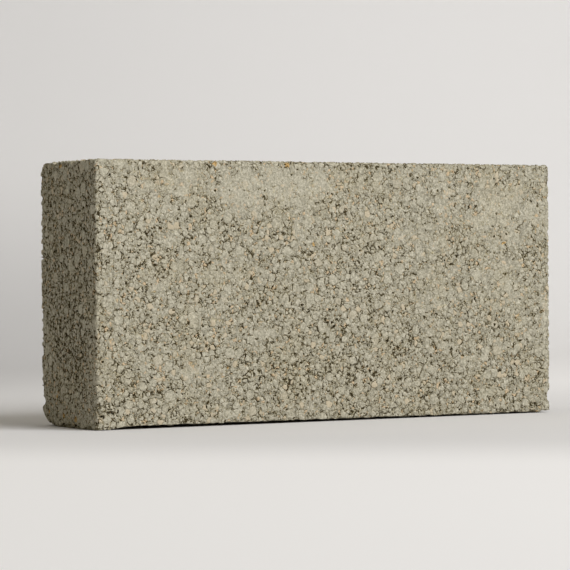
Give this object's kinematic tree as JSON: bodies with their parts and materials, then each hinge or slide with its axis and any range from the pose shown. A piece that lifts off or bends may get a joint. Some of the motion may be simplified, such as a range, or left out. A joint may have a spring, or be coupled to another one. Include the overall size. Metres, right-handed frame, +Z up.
{
  "type": "solid concrete block",
  "caption": "Solid dense-aggregate concrete building block, a plain rectangular casting with worn arrises and a knocked corner, standing on its long narrow bed face.",
  "frame": {"origin": "middle of the lower bed face, on the floor", "axes": "+X along the length, +Y through the thickness from the front stretcher face to the back one, +Z up"},
  "size_m": [0.44, 0.1, 0.215],
  "materials": {
    "concrete": "open-textured cast concrete, matt, pitted, with flush stone grains"
  },
  "bodies": {
    "root": {"concrete_block": "concrete"}
  },
  "joints": []
}
